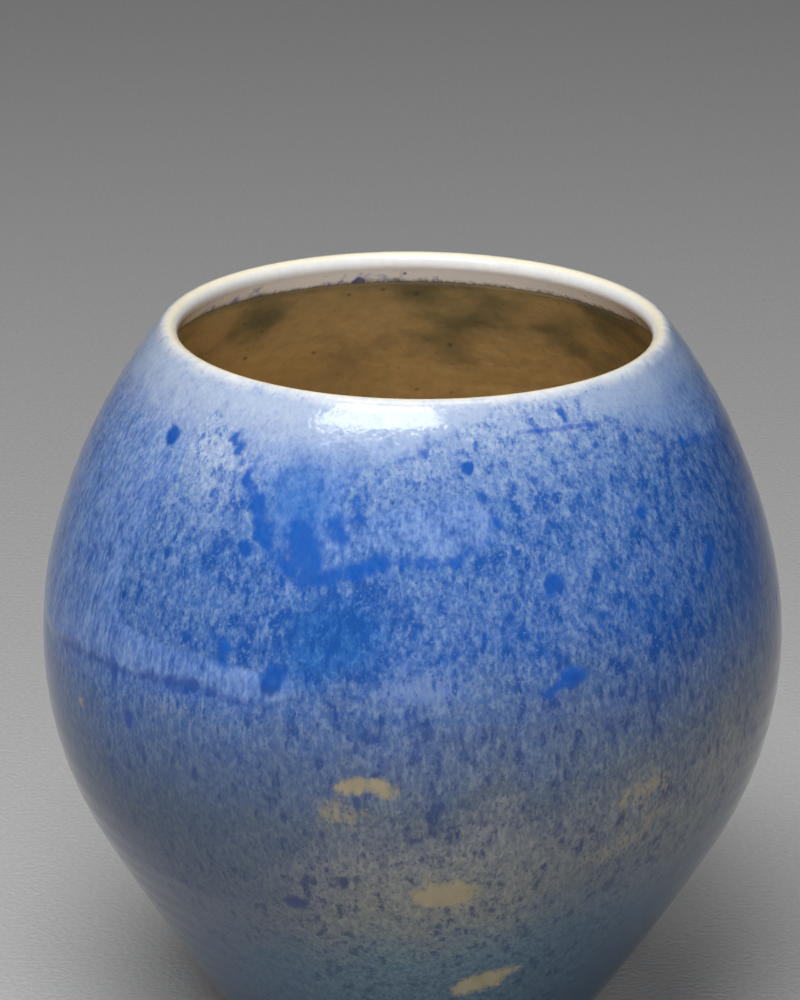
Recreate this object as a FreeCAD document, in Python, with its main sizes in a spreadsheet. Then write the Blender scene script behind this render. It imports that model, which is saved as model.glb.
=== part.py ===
"""Hand-thrown flower vase: a stoneware body and the coats of glaze that are fused to it.

The frame is in millimetres, +Z up, with the origin at the centre of the ring that the vase stands on
and -Y at its front. The finished wall is one line of three tangent arcs turned about Z: the lower wall,
the belly and the shoulder. Every other surface of the wall follows it at a depth of its own, measured
inwards along the wall's normal, and the lip rounds over from the outside to the inside.
"""

import FreeCAD, Part
import math
import os
import Sketcher

OUT = "parts"

# Driving dimensions. A turn is the angle of the wall's normal above the horizontal, in degrees.
SIZES = {
    "belly_radius": (114, "widest radius, over the glaze"),
    "belly_height": (134, "height of the widest line"),
    "belly_round": (118, "radius of the belly's arc"),
    "upper_turn": (13.5, "where the belly's arc runs into the shoulder's"),
    "shoulder_round": (191, "radius of the shoulder's arc"),
    "lip_turn": (37.1, "where the shoulder's arc runs into the lip"),
    "lower_turn": (-30, "where the belly's arc runs into the lower wall's"),
    "lower_round": (1000, "radius of the lower wall's arc, which is nearly straight"),
    "inner_lower_round": (470, "the same for the inside: tighter, so the clay thickens downwards"),
    "wall": (5, "thickness of the clay from the lip to the belly"),
    "floor_height": (14, "top of the clay floor"),
    "floor_round": (24, "inside corner between the floor and the wall"),
    "foot_radius": (52, "outside of the foot ring"),
    "foot_width": (7.5, "width of the foot ring"),
    "foot_height": (7, "height of the turned step above the foot ring"),
    "foot_recess": (5, "depth of the recess inside the foot ring"),
    "foot_edge": (1.2, "rounding of the foot ring's lower edges"),
    "cream_coat": (0.5, "thickness of the cream base coat"),
    "blue_coat": (0.6, "thickness of the blue coat over it"),
    "pour_coat": (0.4, "thickness of the second pour over the blue coat"),
    "drop_coat": (0.9, "height of a cobalt drop over the blue coat"),
    "liner_coat": (0.6, "thickness of the liner coat"),
    "cream_foot": (9, "lower end of the cream coat"),
    "blue_foot": (10.5, "lower end of the blue coat"),
    "blue_top": (228.5, "upper end of the blue coat and the pour, just under the lip"),
    "throat_height": (223, "where the cream coat inside the lip meets the liner"),
    "outline_depth": (40, "reach through the wall of a form that only outlines a patch"),
}

# Patches on the wall: azimuth in degrees from the front towards +X, height, half width, half height.
PATCHES = {
    # Tongues of the second pour, round the shoulder from the front.
    "tongue": [
        (-17, 222, 29, 38),
        (6, 216, 17, 23),
        (-40, 162, 40, 12),
        (-74, 192, 38, 45),
        (-108, 202, 34, 40),
        (-150, 204, 38, 38),
        (158, 198, 30, 46),
        (118, 207, 36, 37),
        (72, 224, 40, 20),
    ],
    # Places where the blue coat ran thin or was knocked off, and the cream coat shows.
    "bare": [
        (-6, 127, 5, 4),
        (-10, 120, 6, 5),
        (5, 92, 8, 6),
        (16, 54, 8, 6),
        (37, 120, 6, 5),
        (37, 103, 9, 7),
        (96, 94, 9, 7),
        (171, 68, 11, 8),
        (-118, 106, 8, 6),
    ],
    # Drops of cobalt that stand proud of the coat they fell on.
    "drop": [
        (-52, 214, 2.8, 2.8),
        (-28.5, 192, 2.4, 2.6),
        (-46.6, 135, 1.8, 3.4),
        (-21, 158, 3.6, 4.6),
        (-19, 86, 3.2, 2.6),
        (10, 215.4, 2.0, 2.2),
        (23, 184.4, 3.0, 3.2),
        (24.7, 159, 5.0, 2.6),
        (42.4, 198, 2.2, 2.4),
        (55.5, 180, 3.2, 3.4),
        (80, 152, 3.0, 3.6),
        (112, 112, 3.6, 4.0),
        (147, 142, 2.8, 3.6),
        (-160, 148, 3.0, 3.8),
        (-124, 122, 2.8, 3.0),
    ],
}
PATCH_WORDS = ("azimuth", "height", "width", "rise")

# Depths of the wall's surfaces under the finished one.
FINISH = "0"
POUR_TOP = "(0 - Sizes.pour_coat)"
CREAM_TOP = "Sizes.blue_coat"
CLAY_TOP = "(Sizes.blue_coat + Sizes.cream_coat)"
CLAY_INSIDE = f"({CLAY_TOP} + Sizes.wall)"
THROAT_TOP = f"({CLAY_INSIDE} + Sizes.cream_coat)"
LINER_TOP = f"({CLAY_INSIDE} + Sizes.liner_coat)"

# A sketch's point positions and its fixed geometry.
START, END, CENTRE = 1, 2, 3
ORIGIN, V_AXIS = -1, -2
UP = FreeCAD.Vector(0, 0, 1)
TOUCH = 1e-6


def make_sheet(doc):
    """The spreadsheet: every driving dimension and every patch's place and size, by name."""
    rows = dict(SIZES)
    for kind, patches in PATCHES.items():
        for number, patch in enumerate(patches, start=1):
            for word, size in zip(PATCH_WORDS, patch):
                rows[f"{kind}{number}_{word}"] = (size, f"{word} of {kind} {number}")
    sheet = doc.addObject("Spreadsheet::Sheet", "Sizes")
    for row, (alias, (size, meaning)) in enumerate(rows.items(), start=1):
        sheet.set(f"A{row}", alias)
        sheet.set(f"B{row}", str(size))
        sheet.set(f"C{row}", meaning)
        sheet.setAlias(f"B{row}", alias)
    doc.recompute()


def value(owner, expression):
    """What an expression comes to, with the sheet as it stands."""
    found = owner.evalExpression(expression)
    return float(getattr(found, "Value", found))


def wall_arcs(lower_round="Sizes.lower_round"):
    """The finished wall's arcs as expressions: the centre's X and Z, and the radius.

    The lower wall's and the shoulder's centres lie on lines through the belly's centre, which makes
    them tangent to the belly's arc where its turn begins and ends."""
    belly_x = "(Sizes.belly_radius - Sizes.belly_round)"
    arcs = {"belly": (belly_x, "Sizes.belly_height", "Sizes.belly_round")}
    neighbours = {
        "lower": (lower_round, "Sizes.lower_turn"),
        "shoulder": ("Sizes.shoulder_round", "Sizes.upper_turn"),
    }
    for name, (radius, turn) in neighbours.items():
        centre_x = f"({belly_x} - ({radius} - Sizes.belly_round) * cos({turn}))"
        centre_z = f"(Sizes.belly_height - ({radius} - Sizes.belly_round) * sin({turn}))"
        arcs[name] = (centre_x, centre_z, radius)
    return arcs


class Profile:
    """A sketch in a body's XZ plane. Each curve is drawn where its dimensions then hold it."""

    def __init__(self, body, name):
        self.sketch = body.newObject("Sketcher::SketchObject", name)
        plane = next(f for f in body.Origin.OriginFeatures if f.Role == "XZ_Plane")
        self.sketch.AttachmentSupport = [(plane, "")]
        self.sketch.MapMode = "FlatFace"

    def arc(self, centre, radius, start, end):
        """An arc between two turns, counterclockwise, all given as expressions."""
        middle = FreeCAD.Vector(*(value(self.sketch, place) for place in centre), 0)
        circle = Part.Circle(middle, UP, value(self.sketch, radius))
        turns = [math.radians(value(self.sketch, turn)) for turn in (start, end)]
        return self.sketch.addGeometry(Part.ArcOfCircle(circle, *turns))

    def tie(self, kind, *where):
        """A constraint with no size, such as a tangent join."""
        self.sketch.addConstraint(Sketcher.Constraint(kind, *where))

    def hold(self, name, kind, *where, at):
        """A named dimension, which an expression drives."""
        index = self.sketch.addConstraint(Sketcher.Constraint(kind, *where, value(self.sketch, at)))
        self.sketch.renameConstraint(index, name)
        self.sketch.setExpression(f"Constraints.{name}", at)

    def hold_height(self, name, curve, position, at):
        self.hold(name, "DistanceY", ORIGIN, START, curve, position, at=at)

    def close_to_axis(self, *ends):
        """A level line from each of a run's two ends to the axis, and a line along the axis."""
        feet = []
        for curve, position in ends:
            point = self.sketch.getPoint(curve, position)
            foot = FreeCAD.Vector(0, point.y, 0)
            level = self.sketch.addGeometry(Part.LineSegment(foot, point))
            self.tie("Coincident", level, END, curve, position)
            self.tie("PointOnObject", level, START, V_AXIS)
            self.tie("Horizontal", level)
            feet.append((level, foot))
        axis = self.sketch.addGeometry(Part.LineSegment(*(foot for _, foot in feet)))
        for position, (level, _) in zip((START, END), feet):
            self.tie("Coincident", axis, position, level, START)


def draw_form(
    body, name, depth, bottom, top, throat=None, lower_round="Sizes.lower_round", corner=None
):
    """Half the section of the vase's form at a depth, from the axis out, between two heights.

    With a throat, the form rounds over the lip and comes down inside it, at the throat's depth, to the
    top height. With a corner, the wall runs into the level bottom in an arc of that radius."""
    profile = Profile(body, name)
    arcs = wall_arcs(lower_round)
    centre = {arc: (x, z) for arc, (x, z, _) in arcs.items()}
    radius = {arc: f"({full} - {depth})" for arc, (_, _, full) in arcs.items()}
    ease = corner or "0"
    lower_start = f"asin(({bottom} + {ease} - {centre['lower'][1]}) / ({radius['lower']} - {ease}))"
    level_top = f"asin(({top} - {centre['shoulder'][1]}) / {radius['shoulder']})"
    shoulder_end = "Sizes.lip_turn" if throat else level_top

    lower = profile.arc(centre["lower"], radius["lower"], lower_start, "Sizes.lower_turn")
    belly = profile.arc(centre["belly"], radius["belly"], "Sizes.lower_turn", "Sizes.upper_turn")
    shoulder = profile.arc(centre["shoulder"], radius["shoulder"], "Sizes.upper_turn", shoulder_end)
    profile.hold("belly_x", "DistanceX", ORIGIN, START, belly, CENTRE, at=centre["belly"][0])
    profile.hold_height("belly_z", belly, CENTRE, at=centre["belly"][1])
    profile.hold("belly_round", "Radius", belly, at=radius["belly"])
    for word, position in (("lower", START), ("upper", END)):
        height = f"{centre['belly'][1]} + {radius['belly']} * sin(Sizes.{word}_turn)"
        profile.hold_height(f"{word}_join", belly, position, at=height)
    profile.tie("Tangent", lower, END, belly, START)
    profile.tie("Tangent", belly, END, shoulder, START)
    profile.hold("lower_round", "Radius", lower, at=radius["lower"])
    profile.hold("shoulder_round", "Radius", shoulder, at=radius["shoulder"])

    first, last = (lower, START), (shoulder, END)
    if corner:
        middle_x = f"({centre['lower'][0]} + ({radius['lower']} - {corner}) * cos({lower_start}))"
        first = (profile.arc((middle_x, f"({bottom} + {corner})"), corner, "-90", lower_start), START)
        profile.hold("corner", "Radius", first[0], at=corner)
        profile.tie("Vertical", *first, first[0], CENTRE)
        profile.tie("Tangent", first[0], END, lower, START)
    if throat:
        # The lip is a half circle between the two depths, square to the wall at the lip's turn.
        half = f"(({throat} - {depth}) / 2)"
        inner_radius = f"(Sizes.shoulder_round - {throat})"
        lip_centre = (
            f"({centre['shoulder'][0]} + ({inner_radius} + {half}) * cos(Sizes.lip_turn))",
            f"({centre['shoulder'][1]} + ({inner_radius} + {half}) * sin(Sizes.lip_turn))",
        )
        lip = profile.arc(lip_centre, half, "Sizes.lip_turn", "Sizes.lip_turn + 180")
        throat_start = f"asin(({top} - {centre['shoulder'][1]}) / {inner_radius})"
        inner = profile.arc(centre["shoulder"], inner_radius, throat_start, "Sizes.lip_turn")
        lip_foot = f"{centre['shoulder'][1]} + %s * sin(Sizes.lip_turn)"
        profile.tie("Tangent", shoulder, END, lip, START)
        profile.tie("Tangent", lip, END, inner, END)
        profile.hold_height("lip_outside", shoulder, END, at=lip_foot % radius["shoulder"])
        profile.hold_height("lip_inside", lip, END, at=lip_foot % inner_radius)
        profile.hold("lip_round", "Radius", lip, at=half)
        profile.hold("throat_round", "Radius", inner, at=inner_radius)
        last = (inner, START)
    profile.hold_height("bottom", *first, at=bottom)
    profile.hold_height("top", *last, at=top)
    profile.close_to_axis(first, last)
    return profile.sketch


def turn_about_axis(body, kind, name, sketch):
    """A Revolution or a Groove of a sketch, all the way round the vase's axis."""
    feature = body.newObject(f"PartDesign::{kind}", name)
    feature.Profile = sketch
    feature.ReferenceAxis = (sketch, ["V_Axis"])
    feature.Angle = 360


def make_coat(doc, name, outside, inside):
    """A coat as one turned body: the form at its outer surface, less the form at its inner one."""
    body = doc.addObject("PartDesign::Body", name)
    outer = draw_form(body, f"{name}_outer_section", **outside)
    turn_about_axis(body, "Revolution", f"{name}_outside", outer)
    inner = draw_form(body, f"{name}_inner_section", **inside)
    turn_about_axis(body, "Groove", f"{name}_inside", inner)
    return body


def draw_disc(body, name, radius):
    """A circle about the origin in a body's XY plane."""
    sketch = body.newObject("Sketcher::SketchObject", name)
    plane = next(f for f in body.Origin.OriginFeatures if f.Role == "XY_Plane")
    sketch.AttachmentSupport = [(plane, "")]
    sketch.MapMode = "FlatFace"
    circle = sketch.addGeometry(Part.Circle(FreeCAD.Vector(0, 0, 0), UP, value(sketch, radius)))
    sketch.addConstraint(Sketcher.Constraint("Coincident", circle, CENTRE, ORIGIN, START))
    size = sketch.addConstraint(Sketcher.Constraint("Radius", circle, value(sketch, radius)))
    sketch.renameConstraint(size, "disc_radius")
    sketch.setExpression("Constraints.disc_radius", radius)
    return sketch


def make_clay_body(doc):
    """The thrown and fired body: a solid form, a turned foot under it, and the hollow thrown into it."""
    body = doc.addObject("PartDesign::Body", "clay_body")
    form = draw_form(
        body, "clay_form", CLAY_TOP, "Sizes.foot_height", "Sizes.throat_height", throat=CLAY_INSIDE
    )
    turn_about_axis(body, "Revolution", "thrown_form", form)
    foot = body.newObject("PartDesign::Pad", "foot")
    foot.Profile = draw_disc(body, "foot_outline", "Sizes.foot_radius")
    foot.setExpression("Length", "Sizes.foot_height + Sizes.foot_edge")
    recess = body.newObject("PartDesign::Pocket", "foot_recess")
    recess.Profile = draw_disc(body, "recess_outline", "Sizes.foot_radius - Sizes.foot_width")
    recess.Reversed = True
    recess.setExpression("Length", "Sizes.foot_recess")
    hollow = draw_form(
        body, "hollow_form", CLAY_INSIDE, "Sizes.floor_height", "Sizes.throat_height",
        lower_round="Sizes.inner_lower_round", corner="Sizes.floor_round",
    )
    turn_about_axis(body, "Groove", "thrown_hollow", hollow)
    doc.recompute()
    edges = body.Shape.Edges
    on_the_ground = [f"Edge{i}" for i, edge in enumerate(edges, start=1) if edge.BoundBox.ZMax < TOUCH]
    softened = body.newObject("PartDesign::Fillet", "softened_foot")
    softened.Base = (body.getObject("thrown_hollow"), on_the_ground)
    softened.setExpression("Radius", "Sizes.foot_edge")
    return body


def make_patches(doc, kind, reach):
    """All patches of a kind as one fused form: ellipsoids with their axes along the wall's normal."""
    forms = []
    for number in range(1, len(PATCHES[kind]) + 1):
        name = f"{kind}{number}"
        form = doc.addObject("Part::Ellipsoid", f"{name}_form")
        form.setExpression("Radius1", reach)
        form.setExpression("Radius2", f"Sizes.{name}_rise")
        form.setExpression("Radius3", f"Sizes.{name}_width")
        centre_x, centre_z, radius = wall_arcs()[arc_at(form, f"Sizes.{name}_height")]
        sine = f"(Sizes.{name}_height - {centre_z}) / {radius}"
        out = f"({centre_x} + {radius} * cos(asin({sine})))"
        heading = f"(Sizes.{name}_azimuth - 90)"
        place = f"vector({out} * cos({heading}); {out} * sin({heading}); Sizes.{name}_height)"
        form.setExpression("Placement", f"placement({place}; rotation({heading}; acos({sine}); 0))")
        forms.append(form)
    fused = doc.addObject("Part::MultiFuse", f"{kind}_forms")
    fused.Shapes = forms
    return fused


def arc_at(owner, height):
    """Which of the wall's arcs a height lies on."""
    _, belly_z, radius = wall_arcs()["belly"]
    if value(owner, height) > value(owner, f"{belly_z} + {radius} * sin(Sizes.upper_turn)"):
        return "shoulder"
    if value(owner, height) < value(owner, f"{belly_z} + {radius} * sin(Sizes.lower_turn)"):
        return "lower"
    return "belly"


def combine(doc, kind, name, base, tool):
    """A Part::Cut or Part::Common of two objects."""
    result = doc.addObject(f"Part::{kind}", name)
    result.Base = base
    result.Tool = tool
    return result


def make_cream_glaze(doc):
    """The base coat: from above the foot up the outside, over the lip and down to the liner."""
    span = {"bottom": "Sizes.cream_foot", "top": "Sizes.throat_height"}
    outside = dict(span, depth=CREAM_TOP, throat=THROAT_TOP)
    inside = dict(span, depth=CLAY_TOP, throat=CLAY_INSIDE)
    return make_coat(doc, "cream_glaze", outside, inside)


def make_liner_glaze(doc):
    """The liner: poured in and poured out, so it covers the floor and the wall up to the throat."""
    span = {"top": "Sizes.throat_height", "lower_round": "Sizes.inner_lower_round"}
    outside = dict(span, depth=CLAY_INSIDE, bottom="Sizes.floor_height", corner="Sizes.floor_round")
    inside = dict(
        span, depth=LINER_TOP, bottom="(Sizes.floor_height + Sizes.liner_coat)",
        corner="(Sizes.floor_round - Sizes.liner_coat)",
    )
    return make_coat(doc, "liner_glaze", outside, inside)


def make_outer_glazes(doc):
    """The blue coat with its bare places, the tongues of the second pour on it, and the drops on both."""
    span = {"bottom": "Sizes.blue_foot", "top": "Sizes.blue_top"}
    finish = dict(span, depth=FINISH)
    blue_shell = make_coat(doc, "blue_shell", finish, dict(span, depth=CREAM_TOP))
    bare = make_patches(doc, "bare", "Sizes.outline_depth")
    blue = combine(doc, "Cut", "blue_glaze", blue_shell, bare)
    pour_shell = make_coat(doc, "pour_shell", dict(span, depth=POUR_TOP), finish)
    tongues = make_patches(doc, "tongue", "Sizes.outline_depth")
    pour = combine(doc, "Common", "second_pour", pour_shell, tongues)
    finished = doc.addObject("PartDesign::Body", "finished_form")
    finished_section = draw_form(finished, "finished_section", **finish)
    turn_about_axis(finished, "Revolution", "finished_solid", finished_section)
    drops = make_patches(doc, "drop", "Sizes.drop_coat")
    above_blue = combine(doc, "Cut", "drops_above_blue", drops, finished)
    return [blue, pour, combine(doc, "Cut", "cobalt_drops", above_blue, pour)]


def main():
    doc = FreeCAD.newDocument("flower_vase")
    make_sheet(doc)
    pieces = [make_clay_body(doc), make_cream_glaze(doc), make_liner_glaze(doc)]
    pieces += make_outer_glazes(doc)
    for piece in pieces:
        piece.Label = piece.Name
    doc.recompute()

    failed = [thing.Name for thing in doc.Objects if {"Invalid", "Error"} & set(thing.State)]
    failed += [piece.Name for piece in pieces if piece.Shape.isNull() or not piece.Shape.isValid()]
    if failed:
        raise RuntimeError(f"these objects failed: {failed}")

    os.makedirs(OUT, exist_ok=True)
    for piece in pieces:
        piece.Shape.exportStep(os.path.join(OUT, f"{piece.Label}.step"))
        box = piece.Shape.BoundBox
        print(
            f"{piece.Label}: {len(piece.Shape.Solids)} solids, {piece.Shape.Volume / 1000:.1f} cm3, "
            f"{box.XLength:.1f} x {box.YLength:.1f} x {box.ZLength:.1f} mm, from z {box.ZMin:.1f}"
        )


main()
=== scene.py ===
import math

import bmesh
import bpy
import numpy as np
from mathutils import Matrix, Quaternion, Vector


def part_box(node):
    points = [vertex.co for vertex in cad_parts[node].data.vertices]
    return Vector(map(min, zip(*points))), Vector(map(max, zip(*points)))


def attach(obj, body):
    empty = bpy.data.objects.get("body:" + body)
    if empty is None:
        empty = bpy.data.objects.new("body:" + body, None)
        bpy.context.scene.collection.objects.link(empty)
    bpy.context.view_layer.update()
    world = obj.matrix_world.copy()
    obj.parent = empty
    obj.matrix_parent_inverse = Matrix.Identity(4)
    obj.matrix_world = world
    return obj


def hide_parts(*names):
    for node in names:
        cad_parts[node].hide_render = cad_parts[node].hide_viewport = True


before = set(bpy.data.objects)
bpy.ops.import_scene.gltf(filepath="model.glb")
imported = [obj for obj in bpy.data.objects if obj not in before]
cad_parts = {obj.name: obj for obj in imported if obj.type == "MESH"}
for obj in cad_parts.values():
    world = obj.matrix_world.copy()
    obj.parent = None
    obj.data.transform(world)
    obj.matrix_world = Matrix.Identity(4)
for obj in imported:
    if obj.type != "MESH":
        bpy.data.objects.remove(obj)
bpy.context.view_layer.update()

# ---------------------------------------------------------------------------------------------------
# The thrown body. One piece of buff stoneware, opened and pulled up on a wheel, then turned over to
# cut its foot ring. The coats cover it except for the foot, where the bare clay shows the marks of
# the turning tool. It sets the line that every coat follows: each coat is so much thicker than it.
# ---------------------------------------------------------------------------------------------------
BELLY_RADIUS = (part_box("blue_glaze")[1][0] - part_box("blue_glaze")[0][0]) / 2
BELLY_HEIGHT = 0.134
BELLY_ROUND = 0.118
SHOULDER_ROUND = 0.191
LOWER_ROUND = 1.0
INNER_LOWER_ROUND = 0.470
UPPER_TURN = 13.5
LOWER_TURN = -30
LIP_TURN = 37.1
WALL = 0.005
OUTER_COATS = 0.0011
FLOOR_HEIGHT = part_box("liner_glaze")[0][2]
FLOOR_ROUND = 0.024
FOOT_RADIUS = 0.052
FOOT_WIDTH = 0.0075
FOOT_HEIGHT = 0.007
FOOT_RECESS = 0.005
FOOT_EDGE = 0.0012
RING_SPACING = 0.0085
RING_RELIEF = 0.00006
TURNING_SPACING = 0.0011
TURNING_RELIEF = 0.00007
TURNING_CENTRE = 0.002
FOOT_CORNER = 0.0004
ARC_STEP = 0.0003


def arc_line(centre, radius, start, end, facing=1):
    """Points along an arc as rows of radius, height and the normal into the air, angles in degrees."""
    count = max(3, round(abs(math.radians(end - start)) * radius / ARC_STEP))
    turn = np.radians(np.linspace(start, end, count))
    away = np.stack([np.cos(turn), np.sin(turn)], axis=1)
    return np.hstack([np.array(centre) + radius * away, facing * away])


def neighbour_centre(radius, turn):
    """The centre of an arc that is tangent to the belly's where its normal has that turn."""
    reach = radius - BELLY_ROUND
    x = BELLY_RADIUS - BELLY_ROUND - reach * math.cos(math.radians(turn))
    return x, BELLY_HEIGHT - reach * math.sin(math.radians(turn))


def turn_at(height, centre, radius):
    return math.degrees(math.asin((height - centre[1]) / radius))


belly_centre = (BELLY_RADIUS - BELLY_ROUND, BELLY_HEIGHT)
shoulder_centre = neighbour_centre(SHOULDER_ROUND, UPPER_TURN)
lower_centre = neighbour_centre(LOWER_ROUND, LOWER_TURN)
inner_lower_centre = neighbour_centre(INNER_LOWER_ROUND, LOWER_TURN)
inside = OUTER_COATS + WALL
lip_reach = SHOULDER_ROUND - OUTER_COATS - WALL / 2
lip_centre = (
    shoulder_centre[0] + lip_reach * math.cos(math.radians(LIP_TURN)),
    shoulder_centre[1] + lip_reach * math.sin(math.radians(LIP_TURN)),
)
corner_height = FLOOR_HEIGHT + FLOOR_ROUND
corner_turn = turn_at(corner_height, inner_lower_centre, INNER_LOWER_ROUND - inside - FLOOR_ROUND)
corner_reach = (INNER_LOWER_ROUND - inside - FLOOR_ROUND) * math.cos(math.radians(corner_turn))
corner_centre = (inner_lower_centre[0] + corner_reach, corner_height)
foot_turn = turn_at(FOOT_HEIGHT, lower_centre, LOWER_ROUND - OUTER_COATS)

# The clay's surface, from above the foot up the outside, over the lip and down to the floor's centre.
outside_line = np.vstack([
    arc_line(lower_centre, LOWER_ROUND - OUTER_COATS, foot_turn, LOWER_TURN),
    arc_line(belly_centre, BELLY_ROUND - OUTER_COATS, LOWER_TURN, UPPER_TURN)[1:],
    arc_line(shoulder_centre, SHOULDER_ROUND - OUTER_COATS, UPPER_TURN, LIP_TURN)[1:],
])
floor_line = np.array([[radius, FLOOR_HEIGHT, 0, 1] for radius in np.linspace(corner_centre[0], 0, 60)])
clay_line = np.vstack([
    outside_line,
    arc_line(lip_centre, WALL / 2, LIP_TURN, LIP_TURN + 180)[1:],
    arc_line(shoulder_centre, SHOULDER_ROUND - inside, LIP_TURN, UPPER_TURN, facing=-1)[1:],
    arc_line(belly_centre, BELLY_ROUND - inside, UPPER_TURN, LOWER_TURN, facing=-1)[1:],
    arc_line(inner_lower_centre, INNER_LOWER_ROUND - inside, LOWER_TURN, corner_turn, facing=-1)[1:],
    arc_line(corner_centre, FLOOR_ROUND, corner_turn, -90, facing=-1)[1:],
    floor_line[1:],
])
clay_way = np.concatenate([[0], np.cumsum(np.hypot(*np.diff(clay_line[:, :2], axis=0).T))])
outside_way = clay_way[len(outside_line) - 1]
lip_way = outside_way + math.pi * WALL / 2


def way_outside(height):
    """How far along the clay's line a height on the outside is."""
    return np.interp(height, outside_line[:, 1], clay_way[: len(outside_line)])


def way_inside(height):
    """How far along the clay's line a height on the inside is."""
    down = clay_line[:, 1][clay_way > lip_way][::-1]
    return np.interp(height, down, clay_way[clay_way > lip_way][::-1])


def on_line(way):
    """The clay's radius, height and normal at distances along its line."""
    return [np.interp(way, clay_way, column) for column in clay_line.T]


def azimuths(columns):
    return np.linspace(-math.pi, math.pi, columns, endpoint=False)


def round_axis(radius, height, azimuth):
    """Places at azimuths from the front, which is -Y, towards +X."""
    return np.stack([radius * np.sin(azimuth), -radius * np.cos(azimuth), height + 0 * azimuth], axis=-1)


def throwing_rings(way, azimuth):
    """The spiral ridge that the thrower's fingers leave, stronger and weaker by turns."""
    spiral = np.sin(math.tau * way / RING_SPACING + azimuth)
    swell = 0.6 + 0.4 * np.sin(way / 0.021 + 2 * azimuth)
    return RING_RELIEF * spiral * swell


def raised(way, azimuth, coat):
    """Places on the clay raised by a coat's thickness along the normal."""
    radius, height, out, up = on_line(way)
    lift = coat + throwing_rings(way, azimuth)
    return round_axis(radius + out * lift, height + up * lift, azimuth)


def piece_from_grid(name, grid, closed):
    """A mesh of rows of places round the axis. A closed run joins its last row to its first; an open
    one starts and ends on the axis, and its first and last rows shrink to points there."""
    rows, columns = grid.shape[:2]
    across = np.arange(columns)
    beside = (across + 1) % columns
    pairs = [(row, row + 1) for row in range(rows - 1)] + ([(rows - 1, 0)] if closed else [])
    quads = np.vstack([
        np.stack([a * columns + across, a * columns + beside, b * columns + beside, b * columns + across], 1)
        for a, b in pairs
    ])
    return piece_from_faces(name, grid.reshape(-1, 3), quads.tolist(), weld=not closed)


def piece_from_faces(name, places, faces, weld=False):
    """A smooth mesh of places and of faces that list them. Welding shrinks rows on the axis to points."""
    mesh = bpy.data.meshes.new(name)
    mesh.from_pydata(places.tolist(), [], faces)
    if weld:
        shape = bmesh.new()
        shape.from_mesh(mesh)
        bmesh.ops.remove_doubles(shape, verts=shape.verts, dist=1e-6)
        bmesh.ops.recalc_face_normals(shape, faces=shape.faces)
        shape.to_mesh(mesh)
        shape.free()
    mesh.polygons.foreach_set("use_smooth", np.ones(len(mesh.polygons), bool))
    mesh.update()
    made = bpy.data.objects.new(name, mesh)
    bpy.context.scene.collection.objects.link(made)
    return made


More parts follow.
